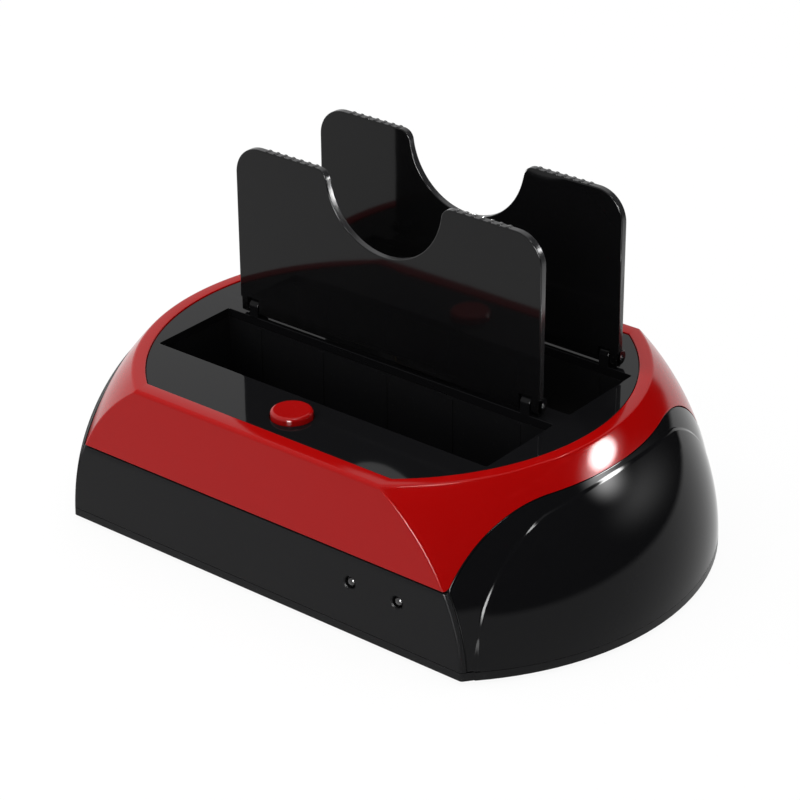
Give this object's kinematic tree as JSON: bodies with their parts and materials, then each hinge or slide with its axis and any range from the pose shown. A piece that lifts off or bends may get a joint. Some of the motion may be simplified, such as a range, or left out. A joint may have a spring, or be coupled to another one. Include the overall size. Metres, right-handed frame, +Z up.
{
  "type": "hard drive docking station",
  "caption": "Desktop dock for bare hard drives: low domed casing with bulged side covers, top bays with hinged notched flaps, a push button, indicator lamps and rear sockets.",
  "frame": {"origin": "middle of the casing's footprint, on the table under the feet", "axes": "+X runs to the right along the front, +Y runs from the front to the back, +Z is up"},
  "size_m": [0.1726, 0.107, 0.0936],
  "materials": {
    "black_case": "satin",
    "red_shell": "gloss",
    "black_gloss": "gloss",
    "flap_black": "satin",
    "red_button": "gloss",
    "foot_rubber": "matte",
    "pin_steel": "satin",
    "screw_steel": "satin",
    "board_green": "satin",
    "socket_black": "satin",
    "socket_white": "satin",
    "lamp_smoke": "gloss",
    "chip_black": "matte",
    "can_metal": "satin",
    "lead_grey": "matte"
  },
  "bodies": {
    "casing": {"base_plate": "black_case", "rubber_feet": "foot_rubber", "lower_case": "black_case", "upper_shell": "red_shell", "side_cover_left": "black_gloss", "side_cover_right": "black_gloss", "top_plate": "black_gloss", "front_well": "black_case", "rear_well": "black_case", "front_hinge_pins": "pin_steel", "rear_hinge_pins": "pin_steel", "button_spring": "pin_steel", "push_switch": "socket_black", "switch_board": "board_green", "switch_screws": "screw_steel", "switch_lead": "lead_grey", "lead_header": "socket_white", "power_lamp": "lamp_smoke", "activity_lamp": "lamp_smoke", "main_board": "board_green", "sata_socket": "socket_black", "ide_socket": "socket_black", "small_ide_socket": "socket_black", "ide_power_socket": "socket_white", "bridge_chip": "chip_black", "memory_chip": "chip_black", "crystal": "can_metal", "capacitors": "can_metal", "coil": "chip_black", "dc_inlet": "socket_black", "dc_inlet_pin": "pin_steel", "usb_shell": "can_metal", "usb_insert": "socket_white", "esata_socket": "socket_black", "rocker_housing": "socket_black", "rocker_terminals": "can_metal", "case_screws": "screw_steel", "board_screws": "screw_steel", "plate_screws": "screw_steel"},
    "front_flap_body": {"front_flap": "flap_black"},
    "rear_flap_body": {"rear_flap": "flap_black"},
    "button_body": {"push_button": "red_button"},
    "rocker_body": {"power_rocker": "socket_black"}
  },
  "joints": [
    {"name": "front_flap_hinge", "type": "hinge", "parent": "casing", "child": "front_flap_body", "pos_m": [0, -0.0012, 0.0479], "axis": [1, 0, 0], "range_deg": [0, 90]},
    {"name": "rear_flap_hinge", "type": "hinge", "parent": "casing", "child": "rear_flap_body", "pos_m": [0, 0.0321, 0.0479], "axis": [1, 0, 0], "range_deg": [0, 82]},
    {"name": "button_press", "type": "slide", "parent": "casing", "child": "button_body", "axis": [0, 0, -1], "range_m": [0, 0.0008], "stiffness_N_per_m": 500, "springref_m": -0.001, "deforming": ["button_spring"]},
    {"name": "rocker_tilt", "type": "hinge", "parent": "casing", "child": "rocker_body", "pos_m": [0.0386, 0.0482, 0.0136], "axis": [0, 0, 1], "range_deg": [0, 16]}
  ],
  "couplings": [
    {"joint": "rear_flap_hinge", "follows": "front_flap_hinge", "ratio": 0.911}
  ]
}
